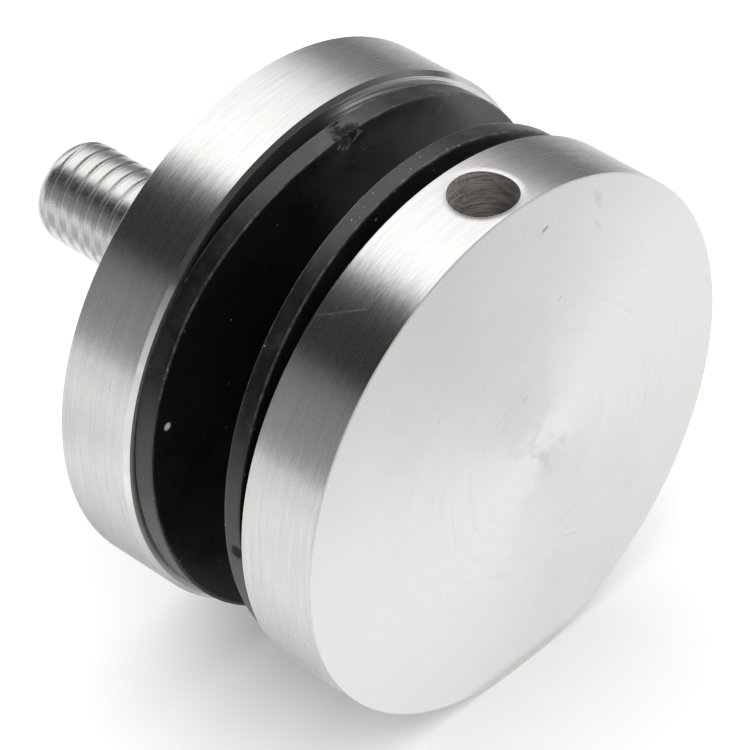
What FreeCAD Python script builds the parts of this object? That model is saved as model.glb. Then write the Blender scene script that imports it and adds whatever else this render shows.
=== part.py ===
# Glass point fixing: a turned base disc with a threaded stud behind it, and a turned
# cap disc that screws towards it and clamps a glass panel between two rubber gaskets.
# Millimetres. The axis of the fixing is Y. The origin is the centre of the base
# disc's rear face, which lies on the wall or post. +Y runs into the wall, -Y towards
# the viewer of the cap, and +Z is up, where the cap's turning hole is.

import FreeCAD, Part
import math
import os

from FreeCAD import Vector

# Discs
disc_diameter = 50.0
base_thickness = 7.8
cap_thickness = 7.8
disc_gap = 13.3                 # between the discs' inner faces, with the cap part unscrewed
thinnest_glass = 8.0            # the cap closes as far as this panel allows
edge_break = 0.1                # small chamfer on every turned edge
base_front_chamfer = 0.4        # the wider chamfer round the base disc's inner face

# Thread: modelled as plain cylinders at its major diameter
thread_diameter = 10.0
thread_clearance = 0.05         # radial, in every tapped hole

# Mounting stud: its plain spigot is pressed into the back of the base disc, and its
# shoulder seats in a shallow recess there
stud_reach = 25.0               # free length behind the base disc
stud_end_chamfer = 1.0
thread_relief = 0.4             # depth of the turned neck between shoulder and thread
spigot_diameter = 8.0
spigot_length = 6.5
spigot_clearance = 0.02         # radial
seat_depth = 0.5
seat_clearance = 0.3            # radial, round the stud

# Boss on the base disc, tapped from its front end down to the spigot's bore
boss_diameter = 14.0
tap_clearance = 0.3             # between the spigot's end and the tapped hole's floor
boss_setback = 1.3              # how far the boss ends short of the sleeve

# Clamp bolt, glued into the back of the cap disc
bolt_socket_depth = 5.3         # tapped blind hole in the cap disc
bolt_end_clearance = 0.4        # to the tapped hole's floor, with the cap closed
bolt_end_chamfer = 0.8

# Sleeve that keeps the glass off the boss
sleeve_wall = 1.35
sleeve_clearance = 0.15         # radial, on the boss
sleeve_end_clearance = 0.45     # to the cap disc, with the cap closed
sleeve_edge_break = 0.3

# Rubber gaskets
gasket_diameter = 48.4
front_gasket_thickness = 1.75
rear_gasket_thickness = 2.0
gasket_clearance = 0.3          # radial, on the sleeve
gasket_edge_break = 0.15

# Turning hole in the cap disc's rim, for a pin spanner or a tommy bar
turning_hole_diameter = 6.0
turning_hole_setback = 3.55     # from the cap's front face to the hole's axis
turning_hole_depth = 9.0        # from the rim to the end of the full diameter
drill_point_angle = 118.0

# Planes along the axis, from the wall forwards
base_rear = 0.0
base_front = base_rear - base_thickness
cap_rear = base_front - disc_gap
cap_front = cap_rear - cap_thickness

disc_radius = disc_diameter / 2.0
thread_radius = thread_diameter / 2.0
tapped_radius = thread_radius + thread_clearance
boss_radius = boss_diameter / 2.0
sleeve_bore_radius = boss_radius + sleeve_clearance
sleeve_radius = sleeve_bore_radius + sleeve_wall
gasket_bore_radius = sleeve_radius + gasket_clearance

# What limits the cap's travel sets how far the boss, sleeve and bolt reach
closed_gap = front_gasket_thickness + thinnest_glass + rear_gasket_thickness
closing_travel = disc_gap - closed_gap
sleeve_length = closed_gap - sleeve_end_clearance
boss_length = sleeve_length - boss_setback
stud_seat = base_rear - seat_depth
spigot_front = stud_seat - spigot_length
tapped_floor = spigot_front - tap_clearance
bolt_end = tapped_floor - closing_travel - bolt_end_clearance


def turned(outline):
    """Solid of revolution about Y from a closed outline of (radius, y) points."""
    corners = [Vector(radius, y, 0.0) for radius, y in outline]
    wire = Part.makePolygon(corners + [corners[0]])
    return Part.Face(wire).revolve(Vector(0, 0, 0), Vector(0, 1, 0), 360.0)


def washer(inner_radius, outer_radius, front, rear, chamfer):
    """Flat ring with all four edges broken."""
    return turned([
        (inner_radius + chamfer, front),
        (outer_radius - chamfer, front),
        (outer_radius, front + chamfer),
        (outer_radius, rear - chamfer),
        (outer_radius - chamfer, rear),
        (inner_radius + chamfer, rear),
        (inner_radius, rear - chamfer),
        (inner_radius, front + chamfer),
    ])


def rod(radius, front, rear, front_chamfer, rear_chamfer):
    """Round bar on the axis with both ends chamfered."""
    return turned([
        (0.0, front),
        (radius - front_chamfer, front),
        (radius, front + front_chamfer),
        (radius, rear - rear_chamfer),
        (radius - rear_chamfer, rear),
        (0.0, rear),
    ])


def make_base_disc():
    """Disc and boss in one turning, tapped in front and bored for the spigot behind."""
    boss_front = base_front - boss_length
    bore_radius = spigot_diameter / 2.0 + spigot_clearance
    lead_in = thread_clearance + edge_break
    return turned([
        (tapped_radius + lead_in, boss_front),
        (boss_radius - edge_break, boss_front),
        (boss_radius, boss_front + edge_break),
        (boss_radius, base_front),
        (disc_radius - base_front_chamfer, base_front),
        (disc_radius, base_front + base_front_chamfer),
        (disc_radius, base_rear - edge_break),
        (disc_radius - edge_break, base_rear),
        (thread_radius + seat_clearance, base_rear),
        (thread_radius + seat_clearance, stud_seat),
        (bore_radius, stud_seat),
        (bore_radius, tapped_floor),
        (tapped_radius, tapped_floor),
        (tapped_radius, boss_front + lead_in),
    ])


def make_mounting_stud():
    """Plain spigot inside the base disc, its shoulder, and the threaded length behind."""
    spigot_radius = spigot_diameter / 2.0
    neck_radius = thread_radius - thread_relief
    free_end = base_rear + stud_reach
    return turned([
        (0.0, spigot_front),
        (spigot_radius - edge_break, spigot_front),
        (spigot_radius, spigot_front + edge_break),
        (spigot_radius, stud_seat),
        (neck_radius, stud_seat),
        (neck_radius, base_rear),
        (thread_radius, base_rear + thread_relief),
        (thread_radius, free_end - stud_end_chamfer),
        (thread_radius - stud_end_chamfer, free_end),
        (0.0, free_end),
    ])


def make_rear_gasket():
    """Rubber ring against the base disc."""
    front = base_front - rear_gasket_thickness
    return washer(gasket_bore_radius, gasket_diameter / 2.0, front, base_front, gasket_edge_break)


def make_glass_sleeve():
    """Plastic sleeve over the boss, which the hole in the glass drops onto."""
    front = base_front - sleeve_length
    return washer(sleeve_bore_radius, sleeve_radius, front, base_front, sleeve_edge_break)


def make_front_gasket():
    """Rubber ring against the cap disc."""
    rear = cap_rear + front_gasket_thickness
    return washer(gasket_bore_radius, gasket_diameter / 2.0, cap_rear, rear, gasket_edge_break)


def make_turning_hole():
    """Drilled hole straight down into the cap's rim, with the drill's conical end."""
    radius = turning_hole_diameter / 2.0
    floor = disc_radius - turning_hole_depth
    point_length = radius / math.tan(math.radians(drill_point_angle / 2.0))
    centre_y = cap_front + turning_hole_setback
    mouth = disc_radius + radius
    shank = Part.makeCylinder(radius, mouth - floor, Vector(0, centre_y, floor), Vector(0, 0, 1))
    point = Part.makeCone(radius, 0.0, point_length, Vector(0, centre_y, floor), Vector(0, 0, -1))
    return shank.fuse(point).removeSplitter()


def make_cap_disc():
    """Disc with a plain face, a tapped blind hole behind and the turning hole on top."""
    socket_floor = cap_rear - bolt_socket_depth
    lead_in = thread_clearance + edge_break
    disc = turned([
        (0.0, cap_front),
        (disc_radius - edge_break, cap_front),
        (disc_radius, cap_front + edge_break),
        (disc_radius, cap_rear - edge_break),
        (disc_radius - edge_break, cap_rear),
        (tapped_radius + lead_in, cap_rear),
        (tapped_radius, cap_rear - lead_in),
        (tapped_radius, socket_floor),
        (0.0, socket_floor),
    ])
    return disc.cut(make_turning_hole())


def make_clamp_bolt():
    """Threaded bolt that is glued in the cap and screws into the boss."""
    front = cap_rear - bolt_socket_depth
    return rod(thread_radius, front, bolt_end, edge_break, bolt_end_chamfer)


pieces = {
    "base_disc": make_base_disc(),
    "mounting_stud": make_mounting_stud(),
    "rear_gasket": make_rear_gasket(),
    "glass_sleeve": make_glass_sleeve(),
    "front_gasket": make_front_gasket(),
    "cap_disc": make_cap_disc(),
    "clamp_bolt": make_clamp_bolt(),
}

os.makedirs("parts", exist_ok=True)
for name, shape in pieces.items():
    shape.exportStep(os.path.join("parts", name + ".step"))
    print(name, "valid", shape.isValid(), "solids", len(shape.Solids), "volume", round(shape.Volume, 1))
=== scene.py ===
# Glass point fixing, dressed for a plain studio picture. Metres. The fixing's axis is
# Y: +Y runs out of the threaded stud, -Y faces the cap's plain side, +Z is up and goes
# through the turning hole. The fixing lies on the rims of its two discs.

import math

import bmesh
import bpy
from mathutils import Matrix, Vector, noise


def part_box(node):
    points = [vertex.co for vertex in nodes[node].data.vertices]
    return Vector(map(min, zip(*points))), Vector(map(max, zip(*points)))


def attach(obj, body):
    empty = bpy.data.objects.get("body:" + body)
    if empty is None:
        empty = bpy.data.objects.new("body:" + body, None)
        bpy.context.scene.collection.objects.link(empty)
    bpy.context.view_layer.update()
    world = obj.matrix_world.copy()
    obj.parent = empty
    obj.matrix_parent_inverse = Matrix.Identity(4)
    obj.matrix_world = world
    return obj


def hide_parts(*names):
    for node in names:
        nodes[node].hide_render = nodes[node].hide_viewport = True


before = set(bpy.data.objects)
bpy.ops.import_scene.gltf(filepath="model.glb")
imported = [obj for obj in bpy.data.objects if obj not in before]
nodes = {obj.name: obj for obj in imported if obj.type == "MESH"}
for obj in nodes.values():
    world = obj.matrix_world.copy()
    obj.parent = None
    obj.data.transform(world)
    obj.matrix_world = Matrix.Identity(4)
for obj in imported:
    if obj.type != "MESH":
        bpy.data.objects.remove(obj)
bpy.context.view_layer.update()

mm = 0.001

# The fixing's own planes and radii, from the frame. A box is its low and its high corner
cap_low, cap_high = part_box("cap_disc")
stud_low, stud_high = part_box("mounting_stud")
bolt_low, bolt_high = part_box("clamp_bolt")
rear_gasket_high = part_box("rear_gasket")[1]

disc_radius = cap_high.x
cap_front = cap_low.y
cap_rear = cap_high.y
base_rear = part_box("base_disc")[1].y
base_front = rear_gasket_high.y         # the base disc's inner face, where the gasket seats
gasket_radius = rear_gasket_high.x
sleeve_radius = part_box("glass_sleeve")[1].x

# Turning hole in the cap's rim
hole_radius = 3.0 * mm
hole_setback = 3.55 * mm                # from the cap's front face to the hole's axis
hole_depth = 9.0 * mm
hole_floor = disc_radius - hole_depth
hole_y = cap_front + hole_setback

# Points nearer than this are merged
merge_reach = 0.001 * mm


# Threads

thread_pitch = 1.5 * mm
crest_radius = 4.82 * mm
root_radius = 4.55 * mm
steps_per_turn = 64
slices_per_pitch = 16


def add_piece(name, bm, body, replaced):
    """A finished mesh becomes a shown piece that stands for CAD nodes and moves with a body."""
    mesh = bpy.data.meshes.new(name)
    bm.to_mesh(mesh)
    bm.free()
    piece = bpy.data.objects.new(name, mesh)
    bpy.context.scene.collection.objects.link(piece)
    for face in mesh.polygons:
        face.use_smooth = True
    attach(piece, body)
    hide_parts(replaced)
    return piece


def spun(bm, outline, steps):
    """Turns an outline of (radius, y) points once about the Y axis."""
    corners = [bm.verts.new((radius, y, 0.0)) for radius, y in outline]
    edges = [bm.edges.new(pair) for pair in zip(corners, corners[1:])]
    bmesh.ops.spin(
        bm, geom=corners + edges, cent=(0, 0, 0), axis=(0, 1, 0), dvec=(0, 0, 0),
        angle=2 * math.pi, steps=steps, use_merge=True, use_duplicate=False,
    )


def thread_depth(turn_share):
    """How deep the flank lies at a share of one pitch: 0 on the crest, 1 in the rounded root."""
    crest_flat = 0.60
    root_flat = 0.04
    from_crest = abs(turn_share - 0.5) * 2.0
    ramp = (from_crest - crest_flat) / (1.0 - crest_flat - root_flat)
    ramp = min(max(ramp, 0.0), 1.0)
    return ramp * ramp * (3.0 - 2.0 * ramp) * 0.5 + ramp * 0.5


def threaded_rod(start, end, near_end, far_end):
    """Closed rod with a rolled right-hand thread. near_end and far_end are (end radius,
    taper length), which take the crests down to the end radius."""
    bm = bmesh.new()
    turns = math.ceil((end - start) / thread_pitch) + 2
    outline = []
    for i in range(slices_per_pitch + 1):
        share = i / slices_per_pitch
        radius = crest_radius - (crest_radius - root_radius) * thread_depth(share)
        outline.append(bm.verts.new((radius, start + (share - 1.0) * thread_pitch, 0.0)))
    edges = [bm.edges.new(pair) for pair in zip(outline, outline[1:])]
    bmesh.ops.spin(
        bm, geom=outline + edges, cent=(0, 0, 0), axis=(0, 1, 0),
        dvec=(0, thread_pitch / steps_per_turn, 0), angle=2 * math.pi, steps=steps_per_turn,
        use_merge=False, use_duplicate=False,
    )
    one_turn = bm.verts[:] + bm.edges[:] + bm.faces[:]
    for turn in range(1, turns):
        copy = bmesh.ops.duplicate(bm, geom=one_turn)["geom"]
        moved = [item for item in copy if isinstance(item, bmesh.types.BMVert)]
        bmesh.ops.translate(bm, vec=(0, turn * thread_pitch, 0), verts=moved)
    bmesh.ops.remove_doubles(bm, verts=bm.verts, dist=2 * merge_reach)
    for y, outward in ((start, -1), (end, 1)):
        cut = bmesh.ops.bisect_plane(
            bm, geom=bm.verts[:] + bm.edges[:] + bm.faces[:], dist=merge_reach / 2,
            plane_co=(0, y, 0), plane_no=(0, outward, 0), clear_outer=True,
        )["geom_cut"]
        rim = [item for item in cut if isinstance(item, bmesh.types.BMEdge)]
        bmesh.ops.contextual_create(bm, geom=rim)
    for vert in bm.verts:
        limit = crest_radius
        for y, (end_radius, length) in ((start, near_end), (end, far_end)):
            share = min(abs(vert.co.y - y) / length, 1.0)
            eased = math.sqrt(share * (2.0 - share))
            limit = min(limit, end_radius + eased * (crest_radius - end_radius))
        radius = math.hypot(vert.co.x, vert.co.z)
        if radius > limit:
            vert.co.x *= limit / radius
            vert.co.z *= limit / radius
    return bm


def make_stud():
    """Mounting stud: rolled thread, turned neck, and the spigot inside the base disc."""
    neck_radius = 4.6 * mm
    neck_taper = 0.5 * mm
    tip_radius = 3.9 * mm
    tip_taper = 1.7 * mm
    spigot_radius = 4.0 * mm
    spigot_chamfer = 0.2 * mm
    seat = base_rear - 0.5 * mm
    neck_end = base_rear + 0.02 * mm
    bm = threaded_rod(base_rear, stud_high.y, (neck_radius, neck_taper), (tip_radius, tip_taper))
    spun(bm, [
        (0.0, stud_low.y), (spigot_radius - spigot_chamfer, stud_low.y),
        (spigot_radius, stud_low.y + spigot_chamfer), (spigot_radius, seat),
        (neck_radius, seat), (neck_radius, neck_end), (0.0, neck_end),
    ], 96)
    bmesh.ops.remove_doubles(bm, verts=bm.verts, dist=merge_reach)
    bmesh.ops.recalc_face_normals(bm, faces=bm.faces)
    return add_piece("threaded_stud", bm, "base", "mounting_stud")


def make_bolt():
    """Clamp bolt between the cap and the boss."""
    glued_end = (4.4 * mm, 0.4 * mm)
    free_end = (4.1 * mm, 0.8 * mm)
    bm = threaded_rod(bolt_low.y, bolt_high.y, glued_end, free_end)
    bmesh.ops.recalc_face_normals(bm, faces=bm.faces)
    return add_piece("threaded_bolt", bm, "cap", "clamp_bolt")


# Gaskets: cut rubber rings that have warped and sit loosely

gasket_bore_radius = sleeve_radius + 0.3 * mm
gasket_edge = 0.12 * mm                 # how far the cut corners are eased
ring_steps = 480
ring_parts = 16                         # one part is spun, and then copied round


def rounded_section(inner, outer, front, rear, edge, across):
    """Closed outline of a flat ring's section: corners eased, long sides divided."""
    arc = 3
    corners = [
        (inner + edge, front + edge, 180, 270), (outer - edge, front + edge, 270, 360),
        (outer - edge, rear - edge, 0, 90), (inner + edge, rear - edge, 90, 180),
    ]
    outline = []
    for centre_radius, centre_y, first, last in corners:
        for i in range(arc + 1):
            turn = math.radians(first + (last - first) * i / arc)
            outline.append((
                centre_radius + edge * math.cos(turn), centre_y + edge * math.sin(turn)))
    divided = []
    for here, there in zip(outline, outline[1:] + outline[:1]):
        parts = across if math.dist(here, there) > 3 * edge else 1
        for i in range(parts):
            share = i / parts
            divided.append((
                here[0] + (there[0] - here[0]) * share, here[1] + (there[1] - here[1]) * share))
    return divided


def ring(inner, outer, front, rear, edge):
    """A flat rubber ring as one closed band of quads. Its attribute named corner is 1 on the
    outer corners."""
    bm = bmesh.new()
    corner_wear_and_highlight = bm.verts.layers.float.new("corner")
    outline = rounded_section(inner, outer, front, rear, edge, 8)
    corners = [bm.verts.new((radius, y, 0.0)) for radius, y in outline]
    for corner in corners:
        beyond = corner.co.x > outer - edge * 1.001
        between = front + edge * 1.001 < corner.co.y < rear - edge * 1.001
        corner[corner_wear_and_highlight] = float(beyond and not between)
    edges = [bm.edges.new(pair) for pair in zip(corners, corners[1:] + corners[:1])]
    bmesh.ops.spin(
        bm, geom=corners + edges, cent=(0, 0, 0), axis=(0, 1, 0), dvec=(0, 0, 0),
        angle=2 * math.pi / ring_parts, steps=ring_steps // ring_parts, use_merge=False,
        use_duplicate=False,
    )
    one_part = bm.verts[:] + bm.edges[:] + bm.faces[:]
    for part in range(1, ring_parts):
        copy = bmesh.ops.duplicate(bm, geom=one_part)["geom"]
        moved = [item for item in copy if isinstance(item, bmesh.types.BMVert)]
        turn = Matrix.Rotation(2 * math.pi * part / ring_parts, 3, "Y")
        bmesh.ops.rotate(bm, cent=(0, 0, 0), matrix=turn, verts=moved)
    bmesh.ops.remove_doubles(bm, verts=bm.verts, dist=merge_reach)
    bmesh.ops.recalc_face_normals(bm, faces=bm.faces)
    return bm


def angle_from_top(point):
    """Degrees from +Z towards -X, round the fixing's axis."""
    return math.degrees(math.atan2(-point.x, point.z))


def smooth_bump(distance, width):
    """1 at distance 0, easing to 0 at width."""
    share = min(abs(distance) / width, 1.0)
    return (1.0 - share * share) ** 2


def turn_gap(angle, middle):
    """Smallest difference between two angles in degrees."""
    return (angle - middle + 180.0) % 360.0 - 180.0


def make_rear_gasket():
    """Rear gasket: seated on the base low on the left, lifted off it at the top, and torn at
    its front edge near the top."""
    thickness = 2.0 * mm
    seat_gap = 0.04
    bm = ring(gasket_bore_radius, gasket_radius, base_front - thickness, base_front, gasket_edge)

    # Where it is lifted: degrees round from the top, spread in degrees, height in mm
    lifts = ((0.0, 34.0, 1.10), (125.0, 36.0, 0.62), (-48.0, 22.0, 0.1))
    for vert in bm.verts:
        angle = angle_from_top(vert.co)
        reach = math.hypot(vert.co.x, vert.co.z) / gasket_radius
        lift = sum(
            height * smooth_bump(turn_gap(angle, middle), spread * 1.6)
            for middle, spread, height in lifts
        )
        vert.co.y -= (lift * reach * reach + seat_gap) * mm

    tear_angle = math.radians(1.2)
    tear_reach = 1.5 * mm
    tear_rear = base_front - 1.3 * mm
    tear = Vector((-math.sin(tear_angle) * gasket_radius, 0, math.cos(tear_angle) * gasket_radius))
    for vert in bm.verts:
        flat = Vector((vert.co.x, 0, vert.co.z))
        near = smooth_bump((flat - tear).length, tear_reach)
        if near > 0.0 and vert.co.y < tear_rear:
            rough = noise.noise(vert.co * 2600.0) * 0.9 + 0.6
            outward = flat.normalized()
            vert.co -= outward * near * rough * 0.40 * mm
            vert.co.y += near * rough * 0.36 * mm
    return add_piece("rear_rubber_ring", bm, "base", "rear_gasket")


def make_front_gasket():
    """Front gasket: hangs a little tilted on the sleeve, off the cap's back."""
    thickness = 1.75 * mm
    middle = cap_rear + 2.40 * mm
    lean_x = 0.0270
    lean_z = 0.0398
    front, rear = middle - thickness / 2, middle + thickness / 2
    bm = ring(gasket_bore_radius, gasket_radius, front, rear, gasket_edge)
    for vert in bm.verts:
        vert.co.y += vert.co.x * lean_x + vert.co.z * lean_z
    return add_piece("front_rubber_ring", bm, "gasket_carrier", "front_gasket")


# Materials


class Shader:
    """Short names for the few shader nodes that the finishes use."""

    def __init__(self, name):
        self.material = bpy.data.materials.new(name)
        self.material.use_nodes = True
        self.tree = self.material.node_tree
        self.principled = self.tree.nodes["Principled BSDF"]
        self.place = self.add("ShaderNodeTexCoord").outputs["Object"]

    def add(self, kind, **settings):
        node = self.tree.nodes.new(kind)
        for key, value in settings.items():
            setattr(node, key, value)
        return node

    def join(self, value, socket):
        if isinstance(value, bpy.types.NodeSocket):
            self.tree.links.new(value, socket)
        else:
            socket.default_value = value

    def math(self, operation, *values):
        node = self.add("ShaderNodeMath", operation=operation)
        for value, socket in zip(values, node.inputs):
            self.join(value, socket)
        return node.outputs[0]

    def vector(self, operation, *values):
        node = self.add("ShaderNodeVectorMath", operation=operation)
        for value, socket in zip(values, node.inputs):
            self.join(value, socket)
        return node.outputs["Value" if operation in ("LENGTH", "DOT_PRODUCT", "DISTANCE") else 0]

    def scaled(self, vector, factor):
        node = self.add("ShaderNodeVectorMath", operation="SCALE")
        self.join(vector, node.inputs[0])
        self.join(factor, node.inputs["Scale"])
        return node.outputs[0]

    def split(self, vector):
        node = self.add("ShaderNodeSeparateXYZ")
        self.join(vector, node.inputs[0])
        return node.outputs

    def combine(self, x, y, z):
        node = self.add("ShaderNodeCombineXYZ")
        for value, socket in zip((x, y, z), node.inputs):
            self.join(value, socket)
        return node.outputs[0]

    def noise(self, vector, scale, detail=2.0, roughness=0.5):
        node = self.add("ShaderNodeTexNoise")
        self.join(vector, node.inputs["Vector"])
        node.inputs["Scale"].default_value = scale
        node.inputs["Detail"].default_value = detail
        node.inputs["Roughness"].default_value = roughness
        return node.outputs["Fac"]

    def ramp(self, value, low, high, to_low=0.0, to_high=1.0, smooth=True):
        node = self.add("ShaderNodeMapRange", clamp=True)
        node.interpolation_type = "SMOOTHSTEP" if smooth else "LINEAR"
        for key, part in (("Value", value), ("From Min", low), ("From Max", high),
                          ("To Min", to_low), ("To Max", to_high)):
            self.join(part, node.inputs[key])
        return node.outputs[0]

    def mix(self, factor, first, second):
        node = self.add("ShaderNodeMix", data_type="RGBA")
        self.join(factor, node.inputs[0])
        self.join(first, node.inputs[6])
        self.join(second, node.inputs[7])
        return node.outputs[2]

    def vector_mix(self, factor, first, second):
        node = self.add("ShaderNodeMix", data_type="VECTOR")
        self.join(factor, node.inputs[0])
        self.join(first, node.inputs[4])
        self.join(second, node.inputs[5])
        return node.outputs[1]

    def number_mix(self, factor, first, second):
        node = self.add("ShaderNodeMix", data_type="FLOAT")
        self.join(factor, node.inputs[0])
        self.join(first, node.inputs[2])
        self.join(second, node.inputs[3])
        return node.outputs[0]

    def noise_colour(self, vector, scale):
        node = self.add("ShaderNodeTexNoise")
        self.join(vector, node.inputs["Vector"])
        node.inputs["Scale"].default_value = scale
        return node.outputs["Color"]

    def to_world(self, direction):
        node = self.add("ShaderNodeVectorTransform", vector_type="VECTOR",
                        convert_from="OBJECT", convert_to="WORLD")
        self.join(direction, node.inputs[0])
        return node.outputs[0]

    def bump(self, height, strength, distance, normal=None):
        node = self.add("ShaderNodeBump")
        node.inputs["Strength"].default_value = strength
        node.inputs["Distance"].default_value = distance
        self.join(height, node.inputs["Height"])
        if normal is not None:
            self.join(normal, node.inputs["Normal"])
        return node.outputs[0]


def axis_distance(s):
    """Distance from the fixing's axis."""
    x, _, z = s.split(s.place)
    return s.vector("LENGTH", s.combine(x, 0.0, z))


def angle_round(s):
    """Angle round the fixing's axis in radians, from straight up towards -X."""
    x, _, z = s.split(s.place)
    return s.math("ARCTAN2", s.math("MULTIPLY", x, -1.0), z)


def steel_lines(s, depth, along, across):
    """Place for noise that is drawn out into lines round the axis. depth counts across the
    lines; along and across are how often it varies per metre."""
    x, _, z = s.split(s.place)
    return s.combine(s.math("MULTIPLY", x, along), s.math("MULTIPLY", depth, across),
                     s.math("MULTIPLY", z, along))


def turned_centre(s, centre_x, centre_z):
    """Vector from the centre of the turning marks, square to the axis."""
    x, _, z = s.split(s.place)
    return s.combine(s.math("SUBTRACT", x, centre_x), 0.0, s.math("SUBTRACT", z, centre_z))


steel_light = (0.815, 0.805, 0.790, 1.0)
steel_dark = (0.605, 0.595, 0.580, 1.0)
face_roughness = 0.265
brush_strength = 0.25
brush_height = 0.006 * mm
rim_depth = 0.05 * mm                   # this near the discs' radius, a point is on the rim
finish_centre = (2.8 * mm, -1.75 * mm)  # x and z where the cap's finishing pass is centred


def brushed_steel(name, seed, face_centre=(0.0, 0.0)):
    """Stainless steel with turned faces and a rim that is brushed round. Returns the shader,
    its tangent, its normal, its brushing, its colour and its roughness, for what a disc adds
    to them."""
    s = Shader(name)
    x, y, z = s.split(s.place)
    axis_radial = s.combine(x, 0.0, z)
    on_rim = s.math("GREATER_THAN", s.vector("LENGTH", axis_radial), disc_radius - rim_depth)
    face_radial = turned_centre(s, *face_centre)
    ring = s.vector("LENGTH", face_radial)
    smudge = s.scaled(s.vector("SUBTRACT", s.noise_colour(s.place, 420.0), (0.5, 0.5, 0.5)),
                      s.ramp(ring, 0.5 * mm, 6.0 * mm, 14.0 * mm, 5.0 * mm))
    radial = s.vector_mix(on_rim, s.vector("ADD", face_radial, smudge), axis_radial)
    around = s.vector("NORMALIZE", s.vector("CROSS_PRODUCT", (0.0, 1.0, 0.0), radial))
    depth = s.math("ADD", s.number_mix(on_rim, ring, y), seed)

    fine_lines = s.noise(steel_lines(s, depth, 40.0, 9000.0), 1.0, 3.0, 0.6)
    long_lines = s.noise(steel_lines(s, depth, 130.0, 2900.0), 1.0, 3.0, 0.65)
    short_lines = s.noise(steel_lines(s, depth, 800.0, 13000.0), 1.0, 3.0, 0.7)
    cloud = s.noise(s.place, 160.0, 3.0, 0.55)

    # Colour: streaked on the rim, nearly even on the faces
    tone = s.math("ADD", s.math("MULTIPLY", long_lines, 0.50), s.math("MULTIPLY", cloud, 0.18))
    tone = s.math("MULTIPLY_ADD", short_lines, 0.32, tone)
    streaks = s.number_mix(on_rim, 0.07, 0.66)
    lowest = s.number_mix(on_rim, 0.52, 0.21)
    shade = s.math("MULTIPLY_ADD", s.ramp(tone, 0.3, 0.7), streaks, lowest)
    colour = s.mix(shade, steel_dark, steel_light)

    rim_roughness = s.ramp(fine_lines, 0.3, 0.7, 0.25, 0.29)
    turned_roughness = s.ramp(cloud, 0.3, 0.7, face_roughness - 0.01, face_roughness + 0.02)
    roughness = s.number_mix(on_rim, turned_roughness, rim_roughness)
    s.principled.inputs["Metallic"].default_value = 1.0
    s.principled.inputs["Anisotropic"].default_value = 0.88
    s.principled.inputs["Anisotropic Rotation"].default_value = 0.25

    around_world = s.to_world(around)
    normal = s.add("ShaderNodeNewGeometry").outputs["Normal"]
    both = s.math("ADD", s.math("MULTIPLY", long_lines, 0.1), s.math("MULTIPLY", short_lines, 0.9))
    waver = s.math("MULTIPLY", s.math("SUBTRACT", both, 0.5), s.number_mix(on_rim, 0.006, 0.10))
    tilted = s.vector("ADD", normal, s.scaled(around_world, waver))
    return s, around_world, tilted, fine_lines, colour, roughness


def finish_steel(s, around_world, tilted, fine_lines, colour, roughness):
    """Joins what brushed_steel and the disc's own marks gave to the shader."""
    s.join(colour, s.principled.inputs["Base Color"])
    s.join(roughness, s.principled.inputs["Roughness"])
    s.join(around_world, s.principled.inputs["Tangent"])
    bump = s.bump(fine_lines, brush_strength, brush_height, s.vector("NORMALIZE", tilted))
    s.join(bump, s.principled.inputs["Normal"])
    return s.material


def base_steel():
    """Base disc: its inner face keeps coarse turning rings, as a gasket covers it, and its
    inner edge has a polished chamfer."""
    s, around, tilted, lines, colour, roughness = brushed_steel("base_steel", 0.0)
    x, y, z = s.split(s.place)
    angle = angle_round(s)
    radius = axis_distance(s)

    on_face = s.math("LESS_THAN", y, base_front + 0.02 * mm)
    radial = s.vector("NORMALIZE", s.combine(x, 0.0, z))
    rings = s.noise(steel_lines(s, radius, 25.0, 9000.0), 1.0, 2.0, 0.6)
    lit_side = s.math("MULTIPLY", s.ramp(angle, -0.12, 0.06, 1.0, 0.0),
                      s.ramp(angle, -0.85, -0.62))
    slope = s.math("MULTIPLY", s.ramp(rings, 0.35, 0.62, 0.1, 1.25),
                   s.math("MULTIPLY", on_face, lit_side))
    tilted = s.vector("ADD", tilted, s.scaled(s.to_world(radial), slope))
    roughness = s.number_mix(on_face, roughness, 0.30)

    chamfer_width = 0.4 * mm
    chamfer = s.math("MULTIPLY", s.math("LESS_THAN", y, base_front + chamfer_width + 0.01 * mm),
                     s.math("GREATER_THAN", radius, disc_radius - chamfer_width - 0.005 * mm))
    roughness = s.number_mix(chamfer, roughness, s.ramp(angle, -0.75, -0.50, 0.34, 0.13))
    return finish_steel(s, around, tilted, lines, colour, roughness)


# Rubbed marks on the cap's face: x, z, half length and half width in mm, lean in degrees, and
# how dark
rubbed_marks = (
    (3.4, 21.1, 0.60, 0.27, -22.0, 0.72),
    (9.9, 20.6, 1.5, 0.6, 70.0, 0.18),
    (9.9, 17.8, 1.1, 0.35, 60.0, 0.14),
    (3.1, -3.2, 3.2, 0.8, 65.0, 0.14),
    (0.9, 4.8, 0.45, 0.14, -20.0, 0.35),
    (5.2, 12.9, 0.5, 0.12, -35.0, 0.32),
    (-9.5, 9.0, 0.4, 0.1, -30.0, 0.22),
    (6.5, -14.0, 2.4, 0.10, 25.0, 0.16),
)

# Scratch across the cap's rim, at the left: its middle, and how it leans
scratch_angle = math.radians(35.45)
scratch_y = -23.15 * mm
scratch_across, scratch_along = 0.837, 0.548


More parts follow.
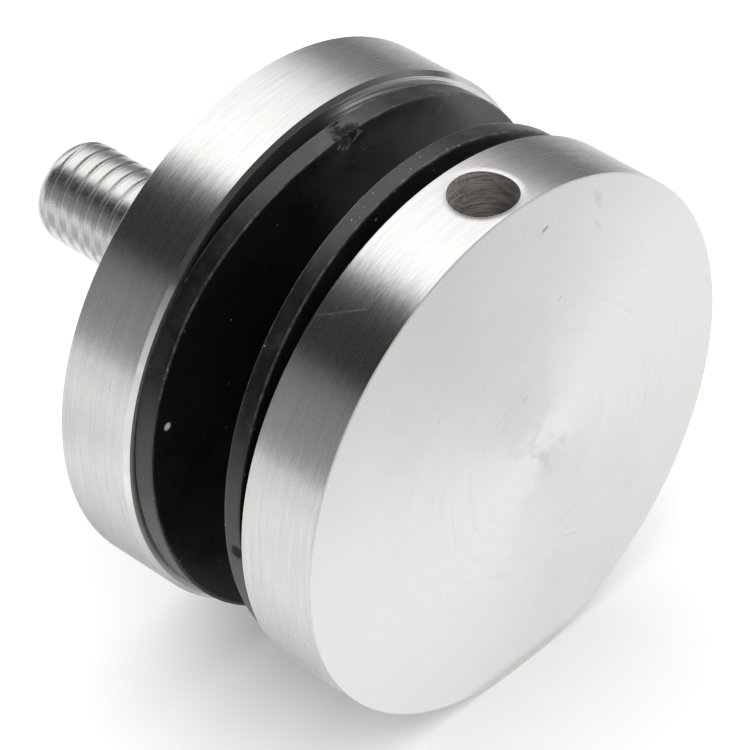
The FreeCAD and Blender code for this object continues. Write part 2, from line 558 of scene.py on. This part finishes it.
def face_marks(s, colour):
    """Adds the arcs of the finishing pass and the rubbed marks to the cap's colour."""
    arc_radius = s.vector("LENGTH", turned_centre(s, *finish_centre))
    arcs = s.noise(steel_lines(s, arc_radius, 130.0, 1500.0), 1.0, 3.0, 0.7)
    near = s.math("MULTIPLY", s.ramp(arc_radius, 3.0 * mm, 8.0 * mm),
                  s.ramp(arc_radius, 13.0 * mm, 21.0 * mm, 1.0, 0.15))
    arcs = s.math("MULTIPLY", s.ramp(arcs, 0.50, 0.72, 0.0, 0.23), near)
    colour = s.mix(arcs, colour, (0.60, 0.59, 0.575, 1.0))
    for mark_x, mark_z, half_length, half_width, lean, strength in rubbed_marks:
        placed = s.add("ShaderNodeMapping", vector_type="TEXTURE")
        s.join(s.place, placed.inputs["Vector"])
        placed.inputs["Location"].default_value = (mark_x * mm, cap_front, mark_z * mm)
        placed.inputs["Rotation"].default_value = (0.0, math.radians(lean), 0.0)
        placed.inputs["Scale"].default_value = (half_length * mm, 1.0 * mm, half_width * mm)
        ragged = s.scaled(s.noise_colour(s.place, 2200.0), 0.9)
        away = s.vector("SUBTRACT", s.vector("ADD", placed.outputs[0], ragged), (0.45, 0.45, 0.45))
        mark = s.ramp(s.vector("LENGTH", away), 0.25, 1.0, strength, 0.0)
        colour = s.mix(mark, colour, (0.20, 0.195, 0.19, 1.0))
    return colour


def rim_scratch(s):
    """Near 1 on the scratch across the cap's rim, easing to 0 beside it and at its ends."""
    y = s.split(s.place)[1]
    sideways = s.math("MULTIPLY", s.math("SUBTRACT", angle_round(s), scratch_angle), disc_radius)
    forwards = s.math("SUBTRACT", y, scratch_y)
    off_line = s.math("SUBTRACT", s.math("MULTIPLY", sideways, scratch_across),
                      s.math("MULTIPLY", forwards, scratch_along))
    wander = s.math("SUBTRACT", s.noise(s.place, 700.0), 0.5)
    off_line = s.math("MULTIPLY_ADD", wander, 0.35 * mm, off_line)
    on_line = s.math("ADD", s.math("MULTIPLY", sideways, scratch_along),
                     s.math("MULTIPLY", forwards, scratch_across))
    return s.math("MULTIPLY", s.ramp(s.math("ABSOLUTE", off_line), 0.02 * mm, 0.10 * mm, 1.0, 0.0),
                  s.ramp(s.math("ABSOLUTE", on_line), 1.6 * mm, 2.7 * mm, 0.75, 0.0))


def cap_steel():
    """Cap disc: arcs from a finishing pass off the centre, a few rubbed marks on the face, a
    scratch on the rim, and the drilled turning hole with its polished mouth."""
    s, around, tilted, lines, colour, roughness = brushed_steel(
        "cap_steel", 0.0131, face_centre=finish_centre)
    x, y, z = s.split(s.place)
    radius = axis_distance(s)
    colour = face_marks(s, colour)
    roughness = s.number_mix(rim_scratch(s), roughness, 0.62)

    # The broken edge between face and rim is rubbed as bright as the face
    edge = s.math("MULTIPLY", s.math("LESS_THAN", y, cap_front + 0.12 * mm),
                  s.math("GREATER_THAN", radius, disc_radius - 0.13 * mm))
    tilted = s.vector_mix(s.math("MULTIPLY", edge, 0.72), tilted, s.to_world((0.0, -1.0, 0.0)))

    # The hole's mouth is dished by polishing
    from_hole = s.combine(x, s.math("SUBTRACT", y, hole_y), 0.0)
    distance = s.vector("LENGTH", from_hole)
    inside = s.math("MULTIPLY", s.math("LESS_THAN", distance, hole_radius + 0.02 * mm),
                    s.math("GREATER_THAN", z, hole_floor - 3.0 * mm))
    outward = s.to_world(s.vector("NORMALIZE", from_hole))
    fall = s.ramp(distance, hole_radius, hole_radius + 1.0 * mm, 1.0, 0.0)
    dish = s.math("MULTIPLY", s.math("MULTIPLY", fall, fall), s.math("SUBTRACT", 1.0, inside))
    dish = s.math("MULTIPLY", dish, s.math("GREATER_THAN", radius, disc_radius - rim_depth))
    tilted = s.vector("ADD", tilted, s.scaled(outward, s.math("MULTIPLY", dish, -0.34)))

    # The bore has rings, and grit that gives painted glints on its lit side, and is darker on the
    # side away from the softbox
    bore_around = s.vector("NORMALIZE", s.vector("CROSS_PRODUCT", (0.0, 0.0, 1.0), from_hole))
    around = s.vector_mix(inside, around, s.to_world(bore_around))
    rings = s.noise(s.combine(s.math("MULTIPLY", x, 420.0), s.math("MULTIPLY", y, 420.0),
                              s.math("MULTIPLY", z, 4600.0)), 1.0, 4.0, 0.75)
    grit_and_glints = s.noise(s.place, 5200.0, 2.0, 0.7)
    bore = s.mix(s.ramp(rings, 0.35, 0.68), (0.235, 0.219, 0.204, 1.0), (0.60, 0.570, 0.545, 1.0))
    shaded = s.vector("DOT_PRODUCT", from_hole, (0.705, -0.709, 0.0))
    bore = s.mix(s.ramp(shaded, 0.0, 2.9 * mm, 0.0, 0.7), bore, (0.105, 0.098, 0.092, 1.0))
    lit = s.ramp(shaded, -2.9 * mm, 0.6 * mm, 0.9, 0.0)
    # Painted glints: light specks of grit only on the bore's lit side
    bore = s.mix(s.math("MULTIPLY", s.ramp(grit_and_glints, 0.54, 0.64), lit), bore, (0.85, 0.82, 0.79, 1.0))
    colour = s.mix(inside, colour, bore)
    s.join(s.number_mix(inside, 1.0, 0.35), s.principled.inputs["Metallic"])
    roughness = s.number_mix(inside, roughness, 0.42)
    bore_slope = s.math("MULTIPLY", s.math("SUBTRACT", s.math("ADD", rings, grit_and_glints), 1.0), inside)
    bore_slope = s.math("MULTIPLY", bore_slope, 0.45)
    tilted = s.vector("ADD", tilted, s.scaled(s.to_world((0.0, 0.0, 1.0)), bore_slope))
    return finish_steel(s, around, tilted, lines, colour, roughness)


def thread_steel(name):
    """Rolled stainless thread, smooth on the crests."""
    s = Shader(name)
    grain = s.noise(s.place, 2600.0, 3.0, 0.6)
    cloud = s.noise(s.place, 420.0, 2.0, 0.5)
    s.join(s.mix(cloud, (0.60, 0.59, 0.575, 1.0), (0.69, 0.68, 0.665, 1.0)),
           s.principled.inputs["Base Color"])
    s.principled.inputs["Metallic"].default_value = 1.0
    s.join(s.ramp(grain, 0.3, 0.7, 0.24, 0.32), s.principled.inputs["Roughness"])
    s.join(s.bump(cloud, 0.06, 0.03 * mm), s.principled.inputs["Normal"])
    return s.material


def specks(s, scale, size, share):
    """Scattered round specks: 1 on a speck. Share is how many cells have none."""
    cells = s.add("ShaderNodeTexVoronoi")
    s.join(s.place, cells.inputs["Vector"])
    cells.inputs["Scale"].default_value = scale
    chance = s.add("ShaderNodeSeparateColor")
    s.join(cells.outputs["Color"], chance.inputs[0])
    return s.math("MULTIPLY", s.ramp(cells.outputs["Distance"], size * 0.5, size, 1.0, 0.0),
                  s.math("GREATER_THAN", chance.outputs[0], share))


def spot(s, centre, reach, ragged):
    """1 at the centre, easing to 0 at reach, with a ragged outline. All in millimetres."""
    away = s.vector("SUBTRACT", s.place, tuple(part * mm for part in centre))
    torn = s.vector("SUBTRACT", s.noise_colour(s.place, 1500.0), (0.5, 0.5, 0.5))
    away = s.vector("ADD", away, s.scaled(torn, ragged * mm))
    return s.ramp(s.vector("LENGTH", away), reach * 0.45 * mm, reach * mm, 1.0, 0.0)


rubber_black = (0.0045, 0.0045, 0.005, 1.0)
rubber_grey = (0.010, 0.010, 0.011, 1.0)
# Light grey of the worn corners, which also serves as a painted highlight along them
corner_wear_and_highlight_grey = (0.095, 0.095, 0.095, 1.0)
smear_grey = (0.024, 0.024, 0.024, 1.0)
dust_grey = (0.25, 0.245, 0.24, 1.0)
# Black for painted shade in the tear's hollows, and for the dark middle of the dent
hollow_shade_and_mark_black = (0.001, 0.001, 0.001, 1.0)


def cut_rubber(name, tear=None, chip=None, dent=None, dusty=()):
    """Black rubber: worn lighter along the cut corners, with a painted highlight there too, and
    specks of dust. A tear, a light chip of grit, a dent and dusty patches are (x, y, z) in
    millimetres."""
    s = Shader(name)
    angle = angle_round(s)
    on_rim = s.math("GREATER_THAN", axis_distance(s), gasket_radius - 0.3 * mm)
    grain = s.noise(s.place, 3200.0, 3.0, 0.6)
    cloud = s.noise(s.place, 260.0, 3.0, 0.5)
    patchy = s.ramp(s.noise(s.place, 900.0, 3.0, 0.7), 0.42, 0.62)
    colour = s.mix(cloud, rubber_black, rubber_grey)
    height = s.math("MULTIPLY", grain, 0.004)

    # Worn corners with a painted highlight along them, less so low on the left
    near_edge = s.add("ShaderNodeAttribute", attribute_name="corner").outputs["Fac"]
    corner = s.ramp(near_edge, 0.92, 0.98)
    corner_wear_and_highlight = s.math("MULTIPLY", corner, s.math("MULTIPLY_ADD", patchy, 0.65, 0.3))
    corner_wear_and_highlight = s.math("MULTIPLY", corner_wear_and_highlight, s.ramp(angle, 1.05, 1.35, 1.0, 0.2))
    colour = s.mix(corner_wear_and_highlight, colour, corner_wear_and_highlight_grey)

    # Dust, and smears round the rim
    dust = s.math("MAXIMUM", specks(s, 700.0, 0.10, 0.94), specks(s, 1500.0, 0.16, 0.965))
    near_corner = s.math("MULTIPLY", specks(s, 2400.0, 0.3, 0.90), s.ramp(near_edge, 0.75, 0.95))
    colour = s.mix(s.math("MAXIMUM", dust, near_corner), colour, dust_grey)
    smear = s.math("MULTIPLY", s.ramp(s.noise(s.place, 380.0, 4.0, 0.65), 0.44, 0.66), on_rim)
    colour = s.mix(s.math("MULTIPLY", smear, 0.6), colour, smear_grey)
    roughness = s.math("MULTIPLY_ADD", smear, 0.10, s.ramp(cloud, 0.3, 0.7, 0.24, 0.33))
    for patch in dusty:
        crumbs = s.math("MULTIPLY", spot(s, patch, 1.3, 1.0), specks(s, 4200.0, 0.34, 0.80))
        colour = s.mix(crumbs, colour, (0.30, 0.295, 0.29, 1.0))

    if tear is not None:
        rubbed = s.math("MULTIPLY_ADD", patchy, 0.4, 0.3)
        rubbed = s.math("MULTIPLY", spot(s, tear, 4.6, 2.6), rubbed)
        colour = s.mix(rubbed, colour, (0.036, 0.036, 0.036, 1.0))
        torn = spot(s, tear, 1.55, 1.3)
        crumbs = s.noise(s.place, 3300.0, 4.0, 0.85)
        # Painted highlight on the tear's raised crumbs and painted shade in its hollows
        raised_highlight = s.math("MULTIPLY", torn, s.ramp(crumbs, 0.56, 0.62))
        colour = s.mix(raised_highlight, colour, (0.24, 0.235, 0.23, 1.0))
        hollow_shade = s.math("MULTIPLY", torn, s.ramp(crumbs, 0.46, 0.53, 1.0, 0.0))
        colour = s.mix(hollow_shade, colour, hollow_shade_and_mark_black)
        height = s.math("ADD", height, s.math("MULTIPLY", s.math("MULTIPLY", torn, crumbs), 1.1))
        roughness = s.number_mix(torn, roughness, 0.75)
    if chip is not None:
        colour = s.mix(spot(s, chip, 0.46, 0.14), colour, (0.62, 0.61, 0.60, 1.0))
    if dent is not None:
        wide = spot(s, dent, 0.85, 0.25)
        ridge = s.math("MULTIPLY", wide, s.math("SUBTRACT", 1.0, wide))
        height = s.math("SUBTRACT", height, s.math("MULTIPLY", wide, 0.40))
        roughness = s.number_mix(wide, roughness, 0.85)
        colour = s.mix(s.math("MULTIPLY", ridge, 3.0), colour, (0.075, 0.075, 0.075, 1.0))
        colour = s.mix(s.ramp(wide, 0.55, 0.8), colour, hollow_shade_and_mark_black)

    # Painted shade in the reflection: the rim reflects less at the upper left, the flat sides all
    # down the left and below
    rim_reflection_shade = s.math("MULTIPLY", s.ramp(angle, 0.42, 0.85), s.ramp(angle, 1.02, 1.42, 1.0, 0.0))
    face_reflection_shade = s.math("MAXIMUM", s.ramp(angle, 0.42, 0.85), s.ramp(angle, -2.4, -1.6, 1.0, 0.0))
    reflection_shade = s.number_mix(on_rim, face_reflection_shade, rim_reflection_shade)
    s.join(s.math("MULTIPLY_ADD", reflection_shade, -0.48, 0.64), s.principled.inputs["Specular IOR Level"])
    s.join(colour, s.principled.inputs["Base Color"])
    s.join(roughness, s.principled.inputs["Roughness"])
    s.join(s.bump(height, 1.0, 1.0 * mm), s.principled.inputs["Normal"])
    return s.material


def nylon(name):
    """Black nylon sleeve with faint turning marks."""
    s = Shader(name)
    lines = s.noise(s.combine(0.0, s.math("MULTIPLY", s.split(s.place)[1], 5000.0), 0.0), 1.0, 2.0)
    s.join(s.mix(lines, (0.012, 0.012, 0.012, 1.0), (0.020, 0.020, 0.020, 1.0)),
           s.principled.inputs["Base Color"])
    s.join(s.ramp(lines, 0.3, 0.7, 0.35, 0.45), s.principled.inputs["Roughness"])
    s.join(s.bump(lines, 0.2, 0.01 * mm), s.principled.inputs["Normal"])
    return s.material


def dress(piece, material):
    """The material becomes the piece's only one."""
    piece.data.materials.clear()
    piece.data.materials.append(material)


# Studio

floor_height = -disc_radius
floor_size = 12.0

tent_radius = 0.30
tent_front = -0.60
tent_back = 1.30
box_front = -0.13                       # where the overhead softbox ends, towards the camera

# What the tent shows at each angle, in degrees from straight up towards -X: right wall,
# softbox that fades to the right, black flag, left wall
tent_levels = (
    (-112.0, 1.15), (-104.0, 0.92), (-100.0, 0.66), (-96.0, 0.34), (-91.0, 0.08), (-84.0, 0.15),
    (-76.0, 0.25), (-64.0, 0.27), (-58.0, 0.44), (-48.0, 1.00), (-38.0, 1.29), (-6.0, 1.50),
    (7.0, 1.42), (17.0, 0.12), (25.0, 0.04), (48.0, 0.03), (58.0, 0.20), (66.0, 0.26),
    (80.0, 0.28), (88.0, 0.36), (94.0, 0.66), (99.0, 0.94), (104.0, 1.02), (120.0, 1.00),
    (128.0, 0.88), (136.0, 0.68), (144.0, 0.50),
)
tent_span = 145.0

# Cards that lie just over the table: left, right, near and far edge, and which of the tent's
# two materials. The last is the bounce card before the cap
card_height = floor_height + 0.5 * mm
cards = (
    (0.055, tent_radius, -0.020, tent_back, 0),
    (-tent_radius, -0.016, -0.020, tent_back, 0),
    (-tent_radius, -0.060, -0.400, -0.020, 0),
    (-0.060, 0.200, -0.250, cap_front - 0.5 * mm, 1),
)

# The bounce card's level falls off towards the camera
bounce_near = 1.13
bounce_far = 0.86


def make_tent():
    """Arched screen round the fixing that shows only as a reflection, closed in front, with
    the cards under it."""
    bm = bmesh.new()
    corners = [bm.verts.new((0.0, y, tent_radius)) for y in (tent_front, tent_back)]
    edge = bm.edges.new(corners)
    half = math.radians(92.0)
    bmesh.ops.rotate(bm, cent=(0, 0, 0), matrix=Matrix.Rotation(half, 3, "Y"), verts=corners)
    bmesh.ops.spin(
        bm, geom=corners + [edge], cent=(0, 0, 0), axis=(0, 1, 0), dvec=(0, 0, 0),
        angle=-2 * half, steps=64, use_merge=False, use_duplicate=False,
    )
    front = [e for e in bm.edges if all(abs(v.co.y - tent_front) < mm for v in e.verts)]
    bmesh.ops.contextual_create(bm, geom=front)
    for left, right, near, far, material in cards:
        middle = Vector(((left + right) / 2, (near + far) / 2, card_height))
        spread = Matrix.LocRotScale(middle, None, Vector((right - left, far - near, 1.0)))
        laid = bmesh.ops.create_grid(bm, x_segments=1, y_segments=1, size=0.5, matrix=spread)
        for face in laid["verts"][0].link_faces:
            face.material_index = material
    mesh = bpy.data.meshes.new("tent")
    bm.to_mesh(mesh)
    bm.free()
    tent = bpy.data.objects.new("tent", mesh)
    bpy.context.scene.collection.objects.link(tent)
    mesh.materials.append(tent_glow())
    mesh.materials.append(bounce_glow())
    tent.visible_camera = False
    tent.visible_diffuse = False
    tent.visible_shadow = False
    tent.visible_transmission = False


def tent_glow():
    """Even light in lengthways bands, dark in front of the softbox."""
    s = Shader("tent_glow")
    s.tree.nodes.remove(s.principled)
    y = s.split(s.place)[1]
    angle = angle_round(s)
    share = s.ramp(angle, -math.radians(tent_span), math.radians(tent_span), smooth=False)
    bands = s.add("ShaderNodeValToRGB")
    s.join(share, bands.inputs[0])
    stops = bands.color_ramp.elements
    top = max(level for _, level in tent_levels)
    for i, (degrees, level) in enumerate(tent_levels):
        at = (degrees + tent_span) / (2 * tent_span)
        stop = stops[i] if i < 2 else stops.new(at)
        stop.position = at
        stop.color = (level / top, level / top, level / top, 1.0)

    # Dimmer under the stud, dark before the softbox, grey again at the front of the left wall
    under_stud = s.vector("LENGTH", s.vector("SUBTRACT", s.place, (-0.045, 0.050, floor_height)))
    patch = s.ramp(under_stud, 0.012, 0.032, 0.60, 1.0)
    dark_front = s.math("MAXIMUM", s.ramp(y, box_front - 0.02, box_front + 0.02),
                        s.ramp(angle, math.radians(50.0), math.radians(60.0)))
    level = s.mix(dark_front, (0.05, 0.05, 0.05, 1.0), s.scaled(bands.outputs[0], patch))
    front_left = s.math("MULTIPLY", s.ramp(y, -0.33, -0.27, 1.0, 0.0),
                        s.ramp(angle, math.radians(55.0), math.radians(59.0)))
    front_level = s.ramp(angle, math.radians(57.0), math.radians(98.0), 0.20, 0.60)
    level = s.mix(front_left, level, s.combine(front_level, front_level, front_level))
    glow = s.add("ShaderNodeEmission")
    s.join(level, glow.inputs["Color"])
    glow.inputs["Strength"].default_value = top
    s.join(glow.outputs[0], s.tree.nodes["Material Output"].inputs["Surface"])
    return s.material


def bounce_glow():
    """The bounce card's light: dimmer towards the camera, near the cap and at one corner."""
    s = Shader("bounce_glow")
    s.tree.nodes.remove(s.principled)
    y = s.split(s.place)[1]
    level = s.ramp(y, -0.090, -0.055, bounce_far, bounce_near)
    from_corner = s.vector("LENGTH", s.vector("SUBTRACT", s.place, (0.025, -0.088, floor_height)))
    level = s.math("MULTIPLY", level, s.ramp(from_corner, 0.008, 0.044, 0.84, 1.0))
    level = s.math("MULTIPLY", level, s.ramp(y, -0.042, cap_front, 1.0, 0.93))
    glow = s.add("ShaderNodeEmission")
    s.join(level, glow.inputs["Strength"])
    s.join(glow.outputs[0], s.tree.nodes["Material Output"].inputs["Surface"])
    return s.material


def make_floor():
    """White table that keeps the fixing's soft shadow."""
    bm = bmesh.new()
    bmesh.ops.create_grid(bm, x_segments=1, y_segments=1, size=floor_size / 2)
    bmesh.ops.translate(bm, vec=(0, 0, floor_height), verts=bm.verts)
    mesh = bpy.data.meshes.new("floor")
    bm.to_mesh(mesh)
    bm.free()
    floor = bpy.data.objects.new("floor", mesh)
    bpy.context.scene.collection.objects.link(floor)
    s = Shader("white_table")
    paint = s.principled
    paint.inputs["Base Color"].default_value = (0.82, 0.82, 0.82, 1.0)
    paint.inputs["Roughness"].default_value = 0.9
    paint.inputs["Specular IOR Level"].default_value = 0.1
    paint.inputs["Emission Color"].default_value = (1.0, 1.0, 1.0, 1.0)
    rays = s.add("ShaderNodeLightPath").outputs
    seen = s.math("MAXIMUM", rays["Is Camera Ray"], rays["Is Glossy Ray"])
    lift = s.ramp(s.vector("LENGTH", s.place), 0.25, 1.30, 0.20, 0.60)
    s.join(s.math("MULTIPLY", seen, lift), paint.inputs["Emission Strength"])
    mesh.materials.append(s.material)


def area_light(name, place, turn, size, level):
    """Softbox with an even face of that level. The tent stands for it in reflections."""
    data = bpy.data.lights.new(name, "AREA")
    data.shape = "RECTANGLE"
    data.size, data.size_y = size
    data.energy = level * math.pi * size[0] * size[1]
    lamp = bpy.data.objects.new(name, data)
    lamp.location = place
    lamp.rotation_euler = [math.radians(angle) for angle in turn]
    lamp.visible_glossy = False
    lamp.visible_camera = False
    bpy.context.scene.collection.objects.link(lamp)


def make_world():
    """White to the camera and in reflections, softer as light on the fixing."""
    world = bpy.data.worlds.new("studio")
    world.use_nodes = True
    tree = world.node_tree
    tree.nodes.clear()
    rays = tree.nodes.new("ShaderNodeLightPath")
    first = tree.nodes.new("ShaderNodeMath")
    first.operation = "MAXIMUM"
    second = tree.nodes.new("ShaderNodeMath")
    second.operation = "MAXIMUM"
    tree.links.new(rays.outputs["Is Camera Ray"], first.inputs[0])
    tree.links.new(rays.outputs["Is Glossy Ray"], first.inputs[1])
    tree.links.new(first.outputs[0], second.inputs[0])
    tree.links.new(rays.outputs["Is Transmission Ray"], second.inputs[1])
    level = tree.nodes.new("ShaderNodeMapRange")
    level.inputs["To Min"].default_value = 0.45
    level.inputs["To Max"].default_value = 1.0
    tree.links.new(second.outputs[0], level.inputs["Value"])
    back = tree.nodes.new("ShaderNodeBackground")
    back.inputs["Color"].default_value = (1.0, 1.0, 1.0, 1.0)
    tree.links.new(level.outputs[0], back.inputs["Strength"])
    out = tree.nodes.new("ShaderNodeOutputWorld")
    tree.links.new(back.outputs[0], out.inputs["Surface"])
    bpy.context.scene.world = world


def make_studio():
    """Floor, world, reflection tent and one large softbox overhead."""
    make_floor()
    make_world()
    make_tent()
    area_light("softbox", place=(0.1, 0.3, 0.60), turn=(0, 0, 0), size=(1.3, 2.0), level=1.35)


# The photograph's view: metres, degrees and millimetres of lens
camera_place = (-0.215775, -0.226705, 0.253988)
camera_turn = (49.9732, 1.6435, -46.5701)
camera_lens = 223.37


def make_camera():
    """Camera at the photograph's viewing angle, without depth of field."""
    data = bpy.data.cameras.new("camera")
    data.sensor_width = 36.0
    data.lens = camera_lens
    data.clip_start = 0.02
    data.clip_end = 20.0
    camera = bpy.data.objects.new("camera", data)
    camera.location = camera_place
    camera.rotation_euler = [math.radians(angle) for angle in camera_turn]
    bpy.context.scene.collection.objects.link(camera)
    bpy.context.scene.camera = camera


stud = make_stud()
bolt = make_bolt()
rear_ring = make_rear_gasket()
front_ring = make_front_gasket()

# Marks on the gaskets, in millimetres
torn_place = (-0.6, -11.0, 24.1)
chip_place = (-21.9, -9.9, 5.6)
dent_place = (-24.2, -19.8, -0.7)
dusty_places = ((1.1, -16.9, 24.2), (-1.4, -18.6, 24.2), (-7.1, -17.4, 23.1))

thread_finish = thread_steel("rolled_thread")
dress(stud, thread_finish)
dress(bolt, thread_finish)
dress(rear_ring, cut_rubber("rear_rubber", tear=torn_place, chip=chip_place))
dress(front_ring, cut_rubber("front_rubber", dent=dent_place, dusty=dusty_places))
dress(nodes["glass_sleeve"], nylon("black_nylon"))
dress(nodes["base_disc"], base_steel())
dress(nodes["cap_disc"], cap_steel())

make_studio()
make_camera()
bpy.context.scene.view_settings.view_transform = "Standard"
